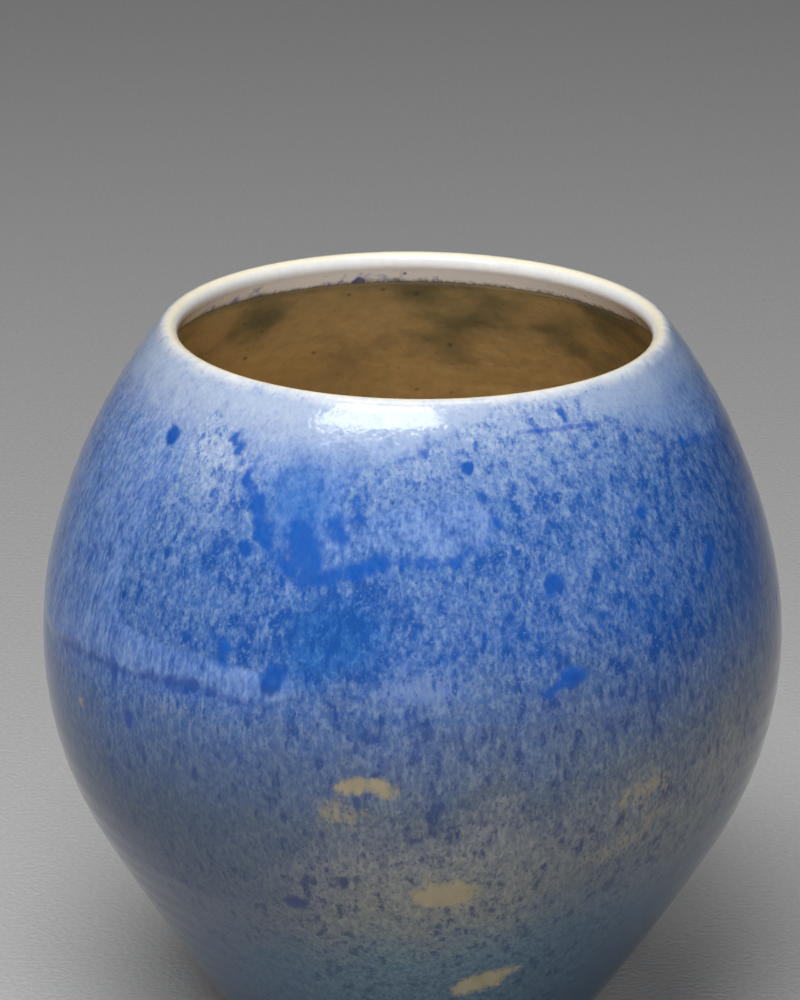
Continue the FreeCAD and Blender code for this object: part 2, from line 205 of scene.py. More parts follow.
class Tint:
    """A socket in a material's node tree. Numbers and other tints reckon with it as numbers do."""

    def __init__(self, tree, socket):
        self.tree = tree
        self.socket = socket

    def node(self, kind, settings, sockets, output=0):
        """The output of a new node, with its settings made first and then its sockets set or linked."""
        made = self.tree.nodes.new(kind)
        for name, setting in settings.items():
            if name == "stops":
                while len(made.color_ramp.elements) < len(setting):
                    made.color_ramp.elements.new(0.5)
                for stop, (position, colour) in zip(made.color_ramp.elements, setting):
                    stop.position = position
                    stop.color = (*colour, 1)
            else:
                setattr(made, name, setting)
        for key, given in sockets.items():
            if isinstance(given, Tint):
                self.tree.links.new(given.socket, made.inputs[key])
            else:
                made.inputs[key].default_value = given
        return Tint(self.tree, made.outputs[output])

    def math(self, operation, *terms):
        return self.node("ShaderNodeMath", {"operation": operation}, dict(enumerate(terms)))

    def __add__(self, other):
        return self.math("ADD", self, other)

    __radd__ = __add__

    def __sub__(self, other):
        return self.math("SUBTRACT", self, other)

    def __rsub__(self, other):
        return self.math("SUBTRACT", other, self)

    def __mul__(self, other):
        return self.math("MULTIPLY", self, other)

    __rmul__ = __mul__

    def __truediv__(self, other):
        return self.math("DIVIDE", self, other)

    def __pow__(self, other):
        return self.math("POWER", self, other)

    def size(self):
        return self.math("ABSOLUTE", self)

    def most(self, other):
        return self.math("MAXIMUM", self, other)

    def least(self, other):
        return self.math("MINIMUM", self, other)

    def rise(self, low, high):
        """0 below low and 1 above high, with a smooth climb between; high may be the lower one."""
        sockets = {"Value": self, "From Min": low, "From Max": high, "To Min": 0.0, "To Max": 1.0}
        return self.node("ShaderNodeMapRange", {"interpolation_type": "SMOOTHSTEP"}, sockets)

    def ramp(self, *stops):
        """A colour for each value, by stops of value and colour."""
        return self.node("ShaderNodeValToRGB", {"stops": stops}, {"Fac": self})

    def blend(self, other, share, way="MIX"):
        """This colour with a share of another one mixed in."""
        settings = {"data_type": "RGBA", "blend_type": way}
        other = other if isinstance(other, Tint) else (*other, 1)
        return self.node("ShaderNodeMix", settings, {0: share, 6: self, 7: other}, output=2)

    def part(self, axis):
        """The x, y or z of a vector, by the axis's number."""
        return self.node("ShaderNodeSeparateXYZ", {}, {"Vector": self}, output=axis)

    def stretched(self, x, y, z):
        return self.node("ShaderNodeVectorMath", {"operation": "MULTIPLY"}, {0: self, 1: (x, y, z)})

    def shifted(self, by):
        return self.node("ShaderNodeVectorMath", {"operation": "ADD"}, {0: self, 1: (by, by, by)})

    def grain(self, size, detail=2.0, roughness=0.5, shift=0.0):
        """Cloudy noise about 0, between about -1 and 1, with lumps of a size in metres."""
        sockets = {"Vector": self.shifted(shift), "Scale": 1 / size}
        sockets |= {"Detail": detail, "Roughness": roughness}
        return self.node("ShaderNodeTexNoise", {}, sockets) * 4 - 2

    def dots(self, spacing, radius, share, shift=0.0):
        """Round dots, one in a share of the cells of a random lattice: 1 in a dot and 0 outside it."""
        sockets = {"Vector": self.shifted(shift), "Scale": 1 / spacing}
        cell = self.node("ShaderNodeTexVoronoi", {}, sockets)
        chance = self.node("ShaderNodeTexVoronoi", {}, sockets, output=1)
        luck = self.node("ShaderNodeSeparateColor", {}, {"Color": chance})
        size = (luck / share).least(1)
        edge = radius / spacing * (1.15 - size)
        return (edge - cell).rise(-0.04, 0.1) * luck.rise(share + 0.01, share - 0.01)


def new_material(name):
    """A material with a principled shader, and a tint of its object coordinates to start from."""
    material = bpy.data.materials.new(name)
    material.use_nodes = True
    tree = material.node_tree
    shader = next(node for node in tree.nodes if node.type == "BSDF_PRINCIPLED")
    place = tree.nodes.new("ShaderNodeTexCoord")
    return material, shader, Tint(tree, place.outputs["Object"])


def dress(shader, colour, roughness, relief, depth, ior=1.5):
    """Sets a shader's colour, its roughness, and its bump with a depth in metres."""
    tree = colour.tree
    shader.inputs["IOR"].default_value = ior
    tree.links.new(colour.socket, shader.inputs["Base Color"])
    tree.links.new(roughness.socket, shader.inputs["Roughness"])
    bump = tree.nodes.new("ShaderNodeBump")
    bump.inputs["Distance"].default_value = depth
    bump.inputs["Strength"].default_value = 1.0
    tree.links.new(relief.socket, bump.inputs["Height"])
    tree.links.new(bump.outputs["Normal"], shader.inputs["Normal"])


# Under the foot: the ring, rounded at its edges, the recess inside it and its turned base.
ring_inside = FOOT_RADIUS - FOOT_WIDTH
foot_line = np.vstack([
    [[radius, FOOT_RECESS, 0, -1] for radius in np.linspace(0, ring_inside - FOOT_CORNER, 60)],
    [[ring_inside, height, -1, 0] for height in np.linspace(FOOT_RECESS - FOOT_CORNER, FOOT_EDGE, 5)],
    arc_line((ring_inside + FOOT_EDGE, FOOT_EDGE), FOOT_EDGE, 180, 270)[1:],
    [[radius, 0, 0, -1] for radius in np.linspace(ring_inside + FOOT_EDGE, FOOT_RADIUS - FOOT_EDGE, 12)][1:],
    arc_line((FOOT_RADIUS - FOOT_EDGE, FOOT_EDGE), FOOT_EDGE, 270, 360)[1:],
    [[FOOT_RADIUS, height, 1, 0] for height in np.linspace(FOOT_EDGE, FOOT_HEIGHT - FOOT_EDGE / 2, 9)][1:],
])
CLAY_COLUMNS = 240
CLAY_ROWS = 200
clay_azimuth = azimuths(CLAY_COLUMNS)[None, :]
clay_stations = np.linspace(0, clay_way[-1], CLAY_ROWS)[:, None]
radius, height, out, up = (column[:, None] for column in foot_line.T)
turning = np.sin(math.tau * (radius + height) / TURNING_SPACING + 0.3 * np.sin(3 * clay_azimuth))
touching = height < FOOT_EDGE / 4
turning_lift = np.where(touching, 0, TURNING_RELIEF) * turning * (radius > TURNING_CENTRE)
foot_grid = round_axis(radius + out * turning_lift, height + up * turning_lift, clay_azimuth)
clay_grid = np.vstack([foot_grid, raised(clay_stations, clay_azimuth, 0)])
clay = piece_from_grid("thrown_body", clay_grid, closed=False)

material, shader, place = new_material("bare_stoneware")
sand = place.grain(0.0008, detail=3)
iron = place.dots(0.0035, 0.0007, 0.5)
blush = place.grain(0.02)
colour = (blush * 0.5 + 0.5).ramp((0.2, (0.36, 0.255, 0.155)), (0.8, (0.50, 0.38, 0.25)))
colour = colour.blend((0.27, 0.18, 0.10), sand.rise(0.2, 1.2) * 0.6)
colour = colour.blend((0.06, 0.035, 0.02), iron * 0.85)
dress(shader, colour, 0.78 + sand * 0.06, sand, 0.0002)
clay.data.materials.append(material)
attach(clay, "root")
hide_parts("clay_body")

# ---------------------------------------------------------------------------------------------------
# The liner. An ochre glaze poured in, swilled round and poured out, so it covers the floor and the
# wall up to the throat. It is darker towards the throat: partly olive smudges where the kiln's smoke
# reached it under the lip, partly painted shade under the overhanging lip, with a band of painted
# shade along its top edge. It is painted paler at the left, as painted light where that side of the
# inside lies in shade.
# ---------------------------------------------------------------------------------------------------
LINER_COAT = 0.0006
LINER_COLUMNS = 300
LINER_ROWS = 160
# Where a coat's underside lies, a little way into the clay.
BURIED = -0.0001
throat_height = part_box("liner_glaze")[1][2]
liner_azimuth = azimuths(LINER_COLUMNS)[None, :]
liner_stations = np.linspace(way_inside(throat_height), clay_way[-1], LINER_ROWS)[:, None]
liner_top = raised(liner_stations, liner_azimuth, LINER_COAT)
liner_under = raised(liner_stations[:-1][::-1], liner_azimuth, BURIED)
liner = piece_from_grid("liner", np.vstack([liner_top, liner_under]), closed=True)

material, shader, place = new_material("ochre_liner")
veil = place.stretched(1, 1, 1.4).grain(0.03, detail=4)
mottle = place.grain(0.004, detail=3)
across, height = place.part(0), place.part(2)
# Darker towards the throat: partly smoke smudges, partly painted shade under the overhanging lip.
smoke_and_shade = (height + veil * 0.010).rise(0.180, 0.216)
colour = (mottle * 0.35 + 0.5).ramp((0.0, (0.47, 0.32, 0.13)), (1.0, (0.68, 0.47, 0.195)))
# Painted light: the left of the inside is made paler where it lies in shade.
colour = colour.blend((0.90, 0.64, 0.28), across.rise(-0.03, -0.075) * 0.4)
colour = colour.blend((0.11, 0.105, 0.06), smoke_and_shade * (veil.rise(-0.5, 0.7) * 0.6 + 0.4))
# Painted shade: a darker band along the liner's top edge, under the lip.
shaded_top_edge = (height + mottle * 0.0008).rise(throat_height - 0.0035, throat_height)
colour = colour.blend((0.14, 0.12, 0.08), shaded_top_edge * 0.7)
colour = colour.blend((0.05, 0.045, 0.03), place.dots(0.0055, 0.0011, 0.45) * 0.6)
dress(shader, colour, 0.32 + mottle * 0.05, mottle, 0.00012)
liner.data.materials.append(material)
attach(liner, "root")
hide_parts("liner_glaze")

# ---------------------------------------------------------------------------------------------------
# The base coat. The pot was dipped in a cream glaze that covers the outside, rolls over the lip and
# ends a finger's width down the throat. Under the blue it gives the light tone of the speckle, and it
# shows by itself on the lip and where the blue was knocked off.
# ---------------------------------------------------------------------------------------------------
CREAM_COAT = 0.0005
SHELL_COLUMNS = 450
CREAM_WALL_ROWS = 99
CREAM_LIP_ROWS = 78
# Heights where the rows get finer, where the cream starts and ends its rise to lie flush with the
# blue, and where the melted coats start to thin towards the lip.
FINE_ROWS_FROM = 0.218
FLUSH_FROM = 0.204
FLUSH_BY = 0.219
THINNING_FROM = 0.2255
JUST_UNDER = 0.00002
CREAM_TOE = 0.0009
CREAM_UNDER_STRIDE = 4
HAIR_HEIGHT = 0.2239
HAIR_TURN = 0.53
HAIR_SLOPE = 0.0032
DRIP_TURN = -2.90
DRIP_DEPTH = 0.0058
DRIP_RADIUS = 0.068
REACH = 0.012
PLACES_AT_ONCE = 20000
cream_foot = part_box("cream_glaze")[0][2]

# Outlines of the tongues of the second pour: azimuth in degrees from the front and height in mm.
TONGUES = [
    # The long tongue at the front that runs down to a point, and the rounder one beside it.
    [(-44, 230.5), (-38, 219.9), (-31, 210.2), (-25, 195), (-20, 188), (-15.5, 184.5), (-11.5, 188),
     (-9.5, 196), (-11, 204), (-11, 211.3), (-7, 216.7), (0, 219.9), (8, 225.3), (14, 230.5)],
    [(-9, 194), (-4.5, 192.5), (4.5, 192), (9.5, 193), (13.6, 199), (13, 205), (8, 209.7), (0, 207.5),
     (-6, 205), (-9.5, 200)],
    # The wide one on the left, with a foot that was swung round under the speckle.
    [(-17, 157), (-21, 151), (-27, 149), (-33, 151.5), (-45, 149), (-52, 149), (-62, 147), (-75, 144),
     (-86, 150), (-95, 164), (-104, 182), (-111, 202), (-112, 230.5), (-47, 230.5), (-46, 218.8), (-47, 207),
     (-49, 197), (-52, 182), (-53, 172), (-50, 163), (-40, 161), (-25, 160)],
    # Round the back, from the left to the right.
    [(-100, 192), (-104, 172), (-113, 165), (-124, 172), (-134, 188), (-142, 207), (-146, 230.5),
     (-104, 230.5)],
    [(-122, 212.4), (-130, 192), (-140, 174), (-154, 168), (-168, 182), (-180, 202), (-186, 230.5),
     (-120, 230.5)],
    [(128, 230.5), (132, 202), (140, 174), (150, 157), (160, 152), (170, 160), (180, 182), (186, 207),
     (188, 230.5)],
    [(84, 230.5), (90, 207), (102, 182), (114, 171), (126, 178), (138, 198), (148, 230.5)],
    [(40, 230.5), (50, 218.8), (62, 209.2), (74, 205), (88, 208.1), (100, 218.8), (108, 230.5)],
]
# Where cobalt gathered in streaks, one of them also painted shadow: its strength, half its width in
# mm and the line it runs along.
STREAKS = [
    (0.7, 3.0, [(-37, 219), (-33, 212)]),
    (1.0, 3.3, [(-32, 210), (-28, 202), (-25, 194.5), (-21, 189), (-17, 186)]),
    (1.3, 5.2, [(-18.5, 197), (-17.2, 189.5)]),
    (1.1, 2.8, [(-16, 186), (-11, 189), (-5, 192)]),
    (0.8, 2.0, [(-6, 192), (0, 193), (7, 192.5)]),
    (0.8, 3.2, [(-13, 202), (-12, 197)]),
    (0.8, 2.8, [(-10.5, 208), (-9.5, 203)]),
    (0.7, 2.4, [(8, 193.5), (12.5, 198), (14.5, 203)]),
    (0.7, 2.4, [(-11, 215), (-9.5, 209)]),
    (0.45, 3.6, [(-7, 213), (-2, 218), (3, 224)]),
    # Under the roll of the wide left tongue: partly cobalt gathered there, partly painted shadow of the
    # roll.
    (0.75, 2.4, [(-68, 146), (-52, 149), (-45, 149.5), (-38, 151), (-33, 152.5), (-27, 150), (-21, 150)]),
    (1.1, 1.8, [(24.7, 159), (20.5, 155.5)]),
    (0.9, 2.8, [(-29, 165), (-29, 160)]),
    (0.8, 1.8, [(31.7, 229), (31.9, 225)]),
    (1.0, 3.0, [(98, 184), (106, 176), (115, 172)]),
    (1.1, 3.6, [(146, 162), (153, 156), (162, 154)]),
    (0.9, 3.0, [(-130, 180), (-122, 172), (-113, 167)]),
    (1.0, 3.4, [(-160, 175), (-152, 170), (-143, 175)]),
    (0.8, 2.4, [(60, 211), (74, 206), (86, 209)]),
]
# Where the speckle holds more cobalt, or less: strength, azimuth, height, half width, half height in mm.
CLOUDS = [
    (0.9, -11, 175, 14, 9), (0.7, -14, 164, 15, 9), (0.7, -20, 205, 12, 14), (0.3, -33, 190, 8, 10),
    (0.3, 14, 170, 12, 9), (-1.0, 1, 158, 17, 5), (-0.6, -36, 142, 26, 5), (0.4, 12, 121, 18, 8),
    (-0.4, -42, 205, 10, 12), (-0.4, 22, 211.3, 18, 9), (-0.2, 38, 192, 18, 12), (0.3, 40, 170, 16, 9),
    (0.2, -5, 145, 50, 5), (0.5, 70, 172, 16, 12), (-0.4, 95, 152, 20, 12), (0.6, 140, 142, 18, 14),
    (0.4, -140, 152, 20, 12), (-0.5, -170, 137, 20, 10), (0.4, 175, 122, 20, 8), (0.5, -100, 132, 20, 9),
    (-0.4, -75, 120, 16, 9), (0.4, 60, 102, 12, 8),
]
# Where the blue came off: strength, softness of the edge in mm, and the outline.
BARE_SPOTS = [
    (1.0, 1.8, [(-11, 128), (-8.5, 132), (-4, 131.5), (-2, 128), (-3.4, 125.5), (-6, 128.4), (-8.5, 126.5)]),
    (0.5, 3.0, [(-14, 123), (-10, 124.5), (-6.5, 121), (-8, 116), (-12, 115.5), (-14.5, 119)]),
    (1.0, 2.8, [(0, 93), (2.4, 95), (2.6, 100), (4.5, 96), (8, 97), (10.5, 93.5), (9.5, 89), (5, 87),
                (1.5, 89)]),
    (0.95, 2.6, [(9, 52), (12, 56), (17, 58), (22, 58.5), (20.5, 54.5), (18, 51), (13, 48), (9.5, 48.5)]),
    (0.6, 4.0, [(32, 119), (36, 124), (40.5, 123), (41, 119), (37, 116), (32.5, 115.5)]),
    (0.4, 5.0, [(27, 100), (34, 108), (42, 114), (44, 109), (38, 101), (31, 96)]),
    (0.7, 1.0, [(-61, 133), (-59.5, 133.5), (-59, 131), (-60.6, 130.6)]),
    (1.0, 2.4, [(91, 94), (95, 100), (101, 98), (102, 92), (97, 88), (92, 89)]),
    (1.0, 2.6, [(165, 68), (170, 75), (177, 73), (179, 66), (173, 61), (167, 62)]),
    (0.9, 2.4, [(-122, 105), (-118, 111), (-114, 108), (-114, 102), (-119, 100)]),
]
# Drops of cobalt: azimuth, height, half width and half height in mm.
DROPS = [
    (-52, 214.5, 2.8, 2.8), (-28.5, 192, 2.4, 2.6), (-46.6, 135, 1.8, 3.4), (-21, 158, 3.6, 4.6),
    (-19, 86, 3.2, 2.6), (10, 216, 2.0, 2.2), (23, 184.4, 3.0, 3.2), (24.7, 159, 5.0, 2.6),
    (42.4, 198, 2.2, 2.4), (55.5, 180, 3.2, 3.4), (80, 152, 3.0, 3.6), (112, 112, 3.6, 4.0),
    (147, 142, 2.8, 3.6), (-160, 148, 3.0, 3.8), (-124, 122, 2.8, 3.0),
]


def smooth_outline(corners, steps=6):
    """A closed line that bends smoothly through its corners."""
    here = np.array(corners, float)
    before, after, beyond = np.roll(here, 1, 0), np.roll(here, -1, 0), np.roll(here, -2, 0)
    bent = [
        here + 0.5 * (after - before) * t
        + (before - 2.5 * here + 2 * after - 0.5 * beyond) * t ** 2
        + (1.5 * (here - after) + 0.5 * (beyond - before)) * t ** 3
        for t in np.linspace(0, 1, steps, endpoint=False)
    ]
    return np.stack(bent, axis=1).reshape(-1, 2)


def spread(azimuth, way, middle):
    """Places on the wall laid out flat: metres round it from a middle azimuth, and metres along it."""
    turned = (azimuth - middle + math.pi) % math.tau - math.pi
    return np.stack([on_line(way)[0] * turned, way], axis=-1)


def line_distance(azimuth, way, line, closed):
    """Metres from places on the wall to a line of azimuths and heights; less than 0 inside a closed one.
    Places further off than the reach all count as that far."""
    azimuth, way = np.broadcast_arrays(azimuth, way)
    middle = math.radians(np.mean([corner[0] for corner in line]))
    corners = smooth_outline(line) if closed else np.array(line, float)
    flat_line = spread(np.radians(corners[:, 0]), way_outside(corners[:, 1] / 1000), middle)
    places = spread(azimuth.ravel(), way.ravel(), middle)
    near = np.all((places > flat_line.min(0) - REACH) & (places < flat_line.max(0) + REACH), axis=1)
    start, end = (flat_line, np.roll(flat_line, -1, 0)) if closed else (flat_line[:-1], flat_line[1:])
    step = end - start
    distance = np.full(len(places), REACH)
    for band in np.array_split(np.flatnonzero(near), 1 + near.sum() // PLACES_AT_ONCE):
        off = places[band][:, None] - start
        share = np.clip((off * step).sum(-1) / (step ** 2).sum(-1), 0, 1)
        gap = np.linalg.norm(off - share[..., None] * step, axis=-1).min(axis=1)
        if closed:
            x, y = places[band][:, None, 0], places[band][:, None, 1]
            level = (start[:, 1] > y) != (end[:, 1] > y)
            slope = step[:, 0] / np.where(step[:, 1] == 0, 1e-9, step[:, 1])
            crossed = level & (x < start[:, 0] + (y - start[:, 1]) * slope)
            gap = np.where(crossed.sum(axis=1) % 2 == 1, -gap, gap)
        distance[band] = gap
    return distance.reshape(azimuth.shape)


def pour_depth(azimuth, way):
    """How far inside a tongue of the second pour a place is, in metres."""
    return np.max([-line_distance(azimuth, way, tongue, closed=True) for tongue in TONGUES], axis=0)


def smooth_step(value, low, high):
    share = np.clip((value - low) / (high - low), 0, 1)
    return share * share * (3 - 2 * share)


def oval_distance(azimuth, way, turn, height, width, rise):
    """How far from the middle of an oval places are, where its edge counts as 1."""
    places = spread(azimuth, way, math.radians(turn)) - [0, way_outside(height / 1000)]
    return np.sqrt(((places / [width / 1000, rise / 1000]) ** 2).sum(-1))


def firing_marks(azimuth, way):
    """What the glazes did at places on the wall, by name, for the material to read."""
    azimuth, way = np.broadcast_arrays(azimuth, way)
    marks = {"pour": pour_depth(azimuth, way)}
    streaks = [
        strength * np.clip(1 - line_distance(azimuth, way, line, closed=False) / (width * 0.002), 0, 1)
        for strength, width, line in STREAKS
    ]
    marks["streak"] = np.max(streaks, axis=0)
    spots = [
        strength * np.clip(0.5 - line_distance(azimuth, way, line, closed=True) / (softness * 0.002), 0, 1)
        for strength, softness, line in BARE_SPOTS
    ]
    marks["bare"] = np.max(spots, axis=0)
    marks["cloud"] = np.zeros(azimuth.shape)
    for strength, *oval in CLOUDS:
        marks["cloud"] += strength * np.exp(-oval_distance(azimuth, way, *oval) ** 2)
    gaps = [oval_distance(azimuth, way, *drop) for drop in DROPS]
    marks["drop"] = np.clip(1 - np.min(gaps, axis=0) / 2, 0, 1)
    return marks


def carry_marks(piece, azimuth, way):
    """Writes the firing's marks onto a piece's points, which lie in the order of azimuth and way."""
    azimuth, way = (given.ravel() for given in np.broadcast_arrays(azimuth, way))
    for name, values in firing_marks(azimuth, way).items():
        mark = piece.data.attributes.new(name, "FLOAT", "POINT")
        mark.data.foreach_set("value", values.astype(np.float32))
    wall = piece.data.attributes.new("wall", "FLOAT_VECTOR", "POINT")
    laid_out = round_axis(on_line(way)[0], way, azimuth)
    wall.data.foreach_set("vector", laid_out.astype(np.float32).ravel())


def carried(tint, name, output):
    """A value (Fac) or a vector (Vector) that the mesh carries for each of its points."""
    return tint.node("ShaderNodeAttribute", {"attribute_name": name}, {}, output)


def fired_material(name):
    """The outer glazes as they came out of the kiln. All the coats melted together, so they share it."""
    material, shader, place = new_material(name)
    pour, streak, bare, cloud, drop = (
        carried(place, mark, "Fac") for mark in ("pour", "streak", "bare", "cloud", "drop")
    )
    wall = carried(place, "wall", "Vector")
    run = wall.stretched(1, 1, 0.5)
    x, y, height = place.part(0), place.part(1), place.part(2)
    way = wall.part(2)
    drift = run.grain(0.020, detail=2)
    fibre = run.grain(0.0016, detail=3, roughness=0.6)
    fleck = run.grain(0.0024, detail=2, roughness=0.55, shift=0.31)
    clot = run.grain(0.0042, detail=2, roughness=0.5, shift=0.17)
    fine = wall.stretched(1, 1, 0.7).grain(0.0010, detail=1, shift=0.83)

    # The tones of the speckle by height: greener and greyer below the belly, white towards the lip.
    # They darken towards the foot, partly the glaze and partly painted shade where the wall turns down
    # from the lights. At the left they are those of higher up, bluer: partly the glaze, partly painted
    # shade and reflection on that side.
    level = (height + drift * 0.006 - x * 0.12 + (-0.02 - x).most(0) * 0.14) * 4
    light = level.ramp(
        (0.10, (0.037, 0.084, 0.120)), (0.25, (0.094, 0.147, 0.171)), (0.34, (0.210, 0.210, 0.175)),
        (0.42, (0.200, 0.203, 0.188)), (0.48, (0.129, 0.149, 0.168)), (0.55, (0.114, 0.157, 0.242)),
        (0.66, (0.137, 0.220, 0.410)), (0.79, (0.152, 0.243, 0.433)), (0.85, (0.205, 0.293, 0.446)),
        (0.91, (0.385, 0.450, 0.545)),
    )
    middle = level.ramp(
        (0.10, (0.017, 0.050, 0.088)), (0.25, (0.040, 0.087, 0.127)), (0.34, (0.125, 0.132, 0.126)),
        (0.42, (0.108, 0.120, 0.142)), (0.48, (0.061, 0.082, 0.122)), (0.55, (0.046, 0.085, 0.188)),
        (0.66, (0.037, 0.104, 0.320)), (0.79, (0.044, 0.120, 0.344)), (0.85, (0.085, 0.169, 0.385)),
        (0.91, (0.225, 0.305, 0.480)),
    )
    deep = level.ramp(
        (0.10, (0.004, 0.022, 0.050)), (0.25, (0.009, 0.037, 0.087)), (0.34, (0.019, 0.038, 0.088)),
        (0.42, (0.023, 0.033, 0.086)), (0.48, (0.020, 0.037, 0.102)), (0.55, (0.013, 0.041, 0.150)),
        (0.66, (0.005, 0.060, 0.272)), (0.79, (0.006, 0.062, 0.272)), (0.85, (0.015, 0.077, 0.308)),
        (0.91, (0.048, 0.128, 0.384)),
    )
    middle = middle.blend((0.004, 0.085, 0.320), cloud.rise(0.1, 0.8) * height.rise(0.145, 0.160) * 0.7)
    middle = middle.blend((0.130, 0.190, 0.420), cloud.rise(-0.2, -1.0) * height.rise(0.146, 0.153) * 0.6)
    light = light.blend((0.030, 0.155, 0.420), cloud.rise(0.1, 0.8) * height.rise(0.145, 0.160) * 0.75)
    light = light.blend((0.16, 0.19, 0.21), cloud.rise(-0.2, -0.8) * height.rise(0.152, 0.146) * 0.8)
    colour = middle.blend(light, (fibre + fleck * 0.4 - cloud * 0.2).rise(-0.55, 0.95))
    low, near_lip = height.rise(0.150, 0.130), height.rise(0.205, 0.226)
    much = cloud * 0.48 + drift * 0.25 + 0.06 - low * 0.22 - near_lip * 0.2
    colour = colour.blend(deep, (clot * 0.6 + fleck * 0.8 + fine * 0.3 + much).rise(-0.06, 0.64) * 0.95)
    colour = colour.blend(light, (fine - cloud * 0.2).rise(0.1, 1.1) * 0.5)
    colour = colour.blend(deep, (clot * 0.3 + much * 0.5 - fine).rise(0.05, 1.0) * 0.7)
    colour = colour.blend(deep, run.dots(0.0052, 0.0013, 0.35) * (low * 0.3 + 0.5))
    navy = deep.blend((0.01, 0.02, 0.07), 0.5)
    colour = colour.blend(navy, run.dots(0.0026, 0.0005, 0.35, shift=0.7) * 0.7)

    # Painted shade: low down the two sides are darker and bluer, where the wall turns away from the
    # lights. Low down the left is bluer, partly the glaze and partly painted shade, and the right of the
    # shoulder, away from the key, is painted darker and bluer.
    shaded_sides = x.size().rise(0.012, 0.060) * height.rise(0.135, 0.085)
    colour = colour.blend((0.005, 0.032, 0.078), shaded_sides * 0.55)
    colour = colour.blend((0.020, 0.055, 0.140), x.rise(0.0, -0.05) * height.rise(0.150, 0.135) * 0.28)
    colour = colour.blend((0.004, 0.050, 0.200), x.rise(0.05, 0.11) * height.rise(0.145, 0.165) * 0.35)

    # The second pour is smoother: lavender and periwinkle, with little of the speckle left.
    inside_pour = (pour + fleck * 0.0007 + clot * 0.0006).rise(-0.0006, 0.0012)
    rain = wall.stretched(1, 1, 0.2).grain(0.0014, detail=2, shift=0.6)
    milk = (run.grain(0.007, detail=3, shift=0.5) * 0.35 + rain * 0.5 + fine * 0.2 + 0.5).ramp(
        (0.0, (0.028, 0.085, 0.30)), (0.5, (0.098, 0.185, 0.43)), (1.0, (0.190, 0.290, 0.52)),
    )
    milk = milk.blend((0.022, 0.125, 0.42), cloud.rise(0.0, 0.8) * 0.7)
    milk = milk.blend(light, height.rise(0.210, 0.229) * 0.8)
    milk = milk.blend(colour, (fibre + 0.55).rise(0.3, 1.2) * 0.3 + 0.12)
    colour = colour.blend(milk, inside_pour * 0.92)

    # Cobalt where it gathered, in streaks and in drops; the streak under the left tongue's roll is partly
    # painted shadow.
    cobalt = (fibre * 0.3 + 0.5).ramp((0.2, (0.004, 0.062, 0.31)), (0.9, (0.008, 0.092, 0.38)))
    cobalt = cobalt.blend((0.008, 0.040, 0.20), height.rise(0.162, 0.150) * 0.7)
    cobalt = cobalt.blend(deep, height.rise(0.14, 0.10))
    gathered = (streak + clot * 0.26 + fleck * 0.20).rise(0.30, 0.92)
    colour = colour.blend(cobalt, gathered * 0.9)
    dropped = (drop + fleck * 0.12 + clot * 0.10).rise(0.30, 0.68)
    thick = cobalt.blend((0.005, 0.035, 0.19), dropped.rise(0.6, 1.0) * 0.25)
    colour = colour.blend(thick, dropped * 0.95)

    # A fine dark hair of cobalt that was drawn sideways under the lip.
    sideways = x.math("ARCTAN2", x, -1 * y)
    along_hair = sideways.rise(0.32, 0.40) * sideways.rise(0.76, 0.70)
    off_hair = (height - HAIR_HEIGHT + (sideways - HAIR_TURN) * HAIR_SLOPE + fleck * 0.0002).size()
    hair = off_hair.rise(0.0009, 0.0002) * along_hair * (clot * 0.5 + 0.6)
    colour = colour.blend((0.01, 0.06, 0.36), hair * 0.85)

    # The cream coat by itself: knocked bare, and bare over the lip with a warmer line along its crest.
    cream = (clot * 0.5 + 0.5).ramp((0.0, (0.22, 0.175, 0.095)), (1.0, (0.29, 0.245, 0.145)))
    knocked = (bare + clot * 0.16 + fleck * 0.22 + fine * 0.16).rise(0.15, 0.85) * bare.rise(0, 0.25)
    colour = colour.blend(cream, knocked * 0.88)
    ragged = way + drift * 0.0010 + clot * 0.0008 + fleck * 0.0004
    lip = ragged.rise(outside_way - 0.0028, outside_way + 0.0032)
    white = (fleck * 0.4 + 0.5).ramp((0.0, (0.60, 0.61, 0.62)), (1.0, (0.70, 0.69, 0.65)))
    white = white.blend((0.92, 0.92, 0.91), way.rise(lip_way - 0.003, lip_way + 0.001) * 0.9)
    colour = colour.blend(white, lip)
    past_outside = way + fleck * 0.0003 - outside_way
    crest = past_outside.rise(0.0012, 0.0024) * past_outside.rise(0.0046, 0.0034)
    colour = colour.blend((0.78, 0.68, 0.44), crest * 0.6)

    # Inside the lip the blue that ran over it left specks and smudges.
    throat = way.rise(lip_way, lip_way + 0.002)
    deeper = way.rise(lip_way, lip_way + 0.006)
    smudge = (clot + drift * 0.9 - sideways * 0.12 - 0.65 + deeper * 0.45).rise(0.0, 0.9) * throat
    colour = colour.blend((0.24, 0.32, 0.62), smudge * 0.75)
    beside_drip = (sideways - DRIP_TURN) * DRIP_RADIUS
    off_drip = (beside_drip ** 2 + ((way - lip_way - DRIP_DEPTH) * 0.75) ** 2) ** 0.5
    colour = colour.blend((0.02, 0.045, 0.24), (off_drip + fleck * 0.0003).rise(0.0024, 0.0013) * 0.9)
    # Painted shade: the throat darkens where it turns under the lip towards the shaded inside.
    throat_shade = (way + fibre * 0.0012 + drift * 0.001).rise(lip_way + 0.0042, lip_way + 0.0070)
    colour = colour.blend((0.14, 0.12, 0.08), throat_shade * 0.85)
    colour = colour.blend((0.05, 0.09, 0.36), run.dots(0.004, 0.0011, 0.5, shift=0.4) * throat * 0.8)

    peel = place.grain(0.0035, detail=2, shift=0.9)
    pinholes = place.dots(0.009, 0.00035, 0.5, shift=0.2)
    relief = peel * 0.35 + fibre * 0.12 - pinholes * 1.5
    roughness = (fibre * 0.02 + bare * 0.14 + 0.02).most(0) + 0.08
    dress(shader, colour, roughness, relief, 0.00008, ior=1.52)
    return material


